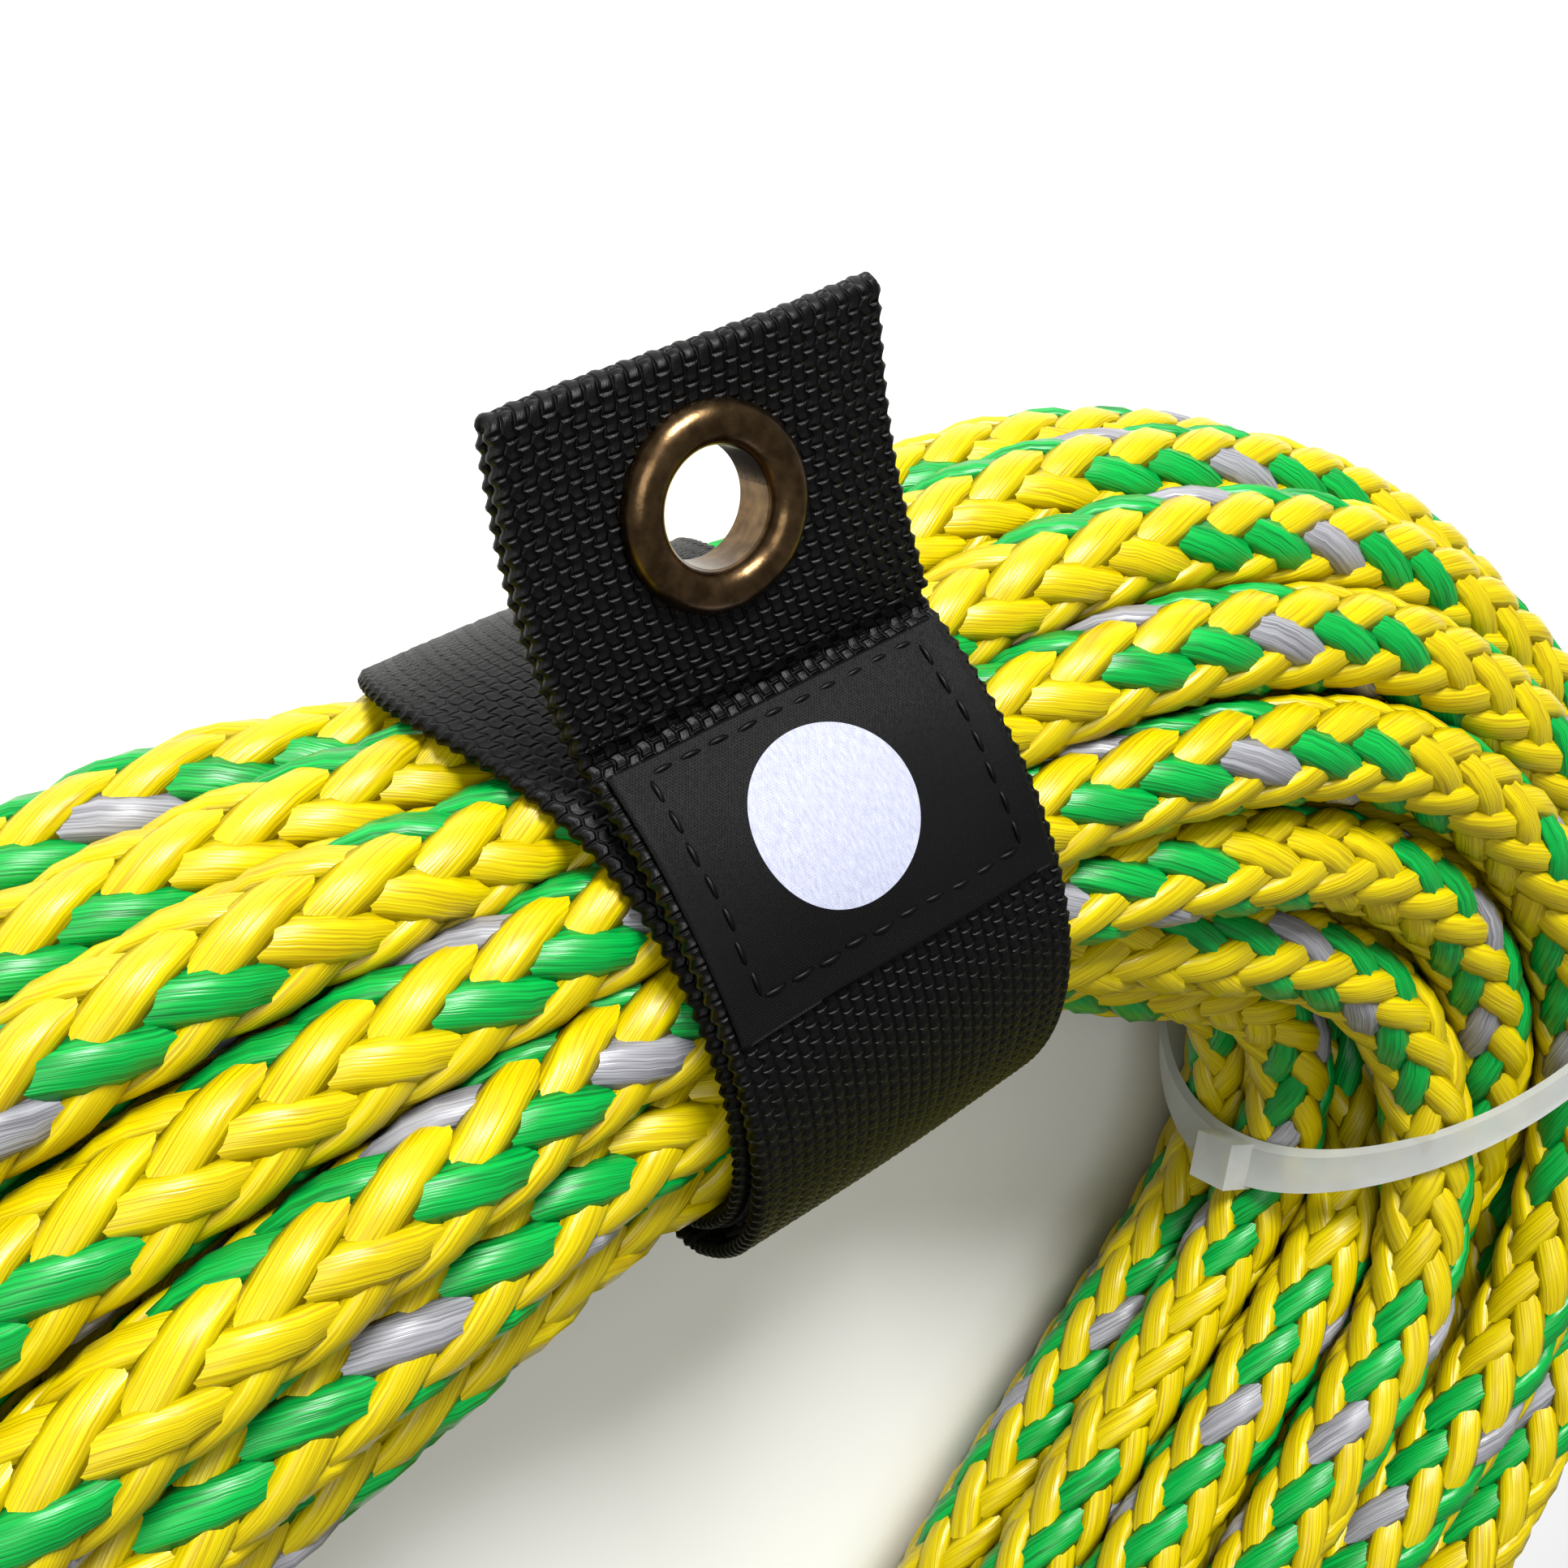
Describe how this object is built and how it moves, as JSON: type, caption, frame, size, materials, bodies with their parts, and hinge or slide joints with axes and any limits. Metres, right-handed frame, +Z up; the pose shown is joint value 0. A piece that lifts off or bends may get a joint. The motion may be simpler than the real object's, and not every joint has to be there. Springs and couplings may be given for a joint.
{
  "type": "tow rope",
  "caption": "Coil of hollow-braid floating tow rope with a spliced eye at each end, bundled by a hook-and-loop webbing keeper with a grommet tab and by a cable tie",
  "frame": {"origin": "under the middle of the part, on the plane the coil lies on", "axes": "+Z is up, out of the plane of the coil. +X runs along the straight leg that carries the keeper, towards the coil's tight end. +Y points out of the coil on the side the grommet tab stands out from."},
  "size_m": [0.3752, 0.3026, 0.0731],
  "materials": {
    "braid": "woven polyethylene ribbons, glossy, in yellow, green and silver",
    "webbing": "woven, slight sheen",
    "tape": "hook and loop pile, matte",
    "label": "fine satin weave",
    "thread": "twisted thread, semi-matte",
    "grommet": "antiqued, polished on the rim",
    "tie": "translucent nylon, smooth"
  },
  "bodies": {
    "coil": {"rope_leg_front": "braid", "rope_waist": "braid", "rope_leg_inner": "braid", "rope_leg_outer": "braid", "rope_bend": "braid", "rope_leg_rear": "braid", "rope_far_end": "braid", "rope_eye_start": "braid", "rope_eye_end": "braid", "rope_splice_start": "braid", "rope_splice_end": "braid", "cable_tie": "tie"},
    "wrap": {"keeper_wrap": "webbing", "loop_tape": "tape", "loop_tape_stitching": "thread"},
    "panel": {"keeper_panel": "webbing", "hook_tape": "tape", "hook_tape_stitching": "thread", "label_patch": "label", "label_stitching": "thread"},
    "tab": {"keeper_tab": "webbing", "tab_stitching": "thread", "grommet_eyelet": "grommet", "grommet_washer": "grommet"}
  },
  "joints": [
    {"name": "keeper_slide", "type": "slide", "parent": "coil", "child": "wrap", "axis": [1, 0, 0], "range_m": [-0.004, 0.004]},
    {"name": "panel_peel", "type": "hinge", "parent": "wrap", "child": "panel", "pos_m": [0.04807, 0.06233, 0.04682], "axis": [1, 0, 0], "range_deg": [0, 80]},
    {"name": "tab_fold", "type": "hinge", "parent": "panel", "child": "tab", "pos_m": [0.04807, 0.12105, 0.06146], "axis": [1, 0, 0], "range_deg": [-40, 50], "stiffness_Nm_per_rad": 0.02}
  ]
}
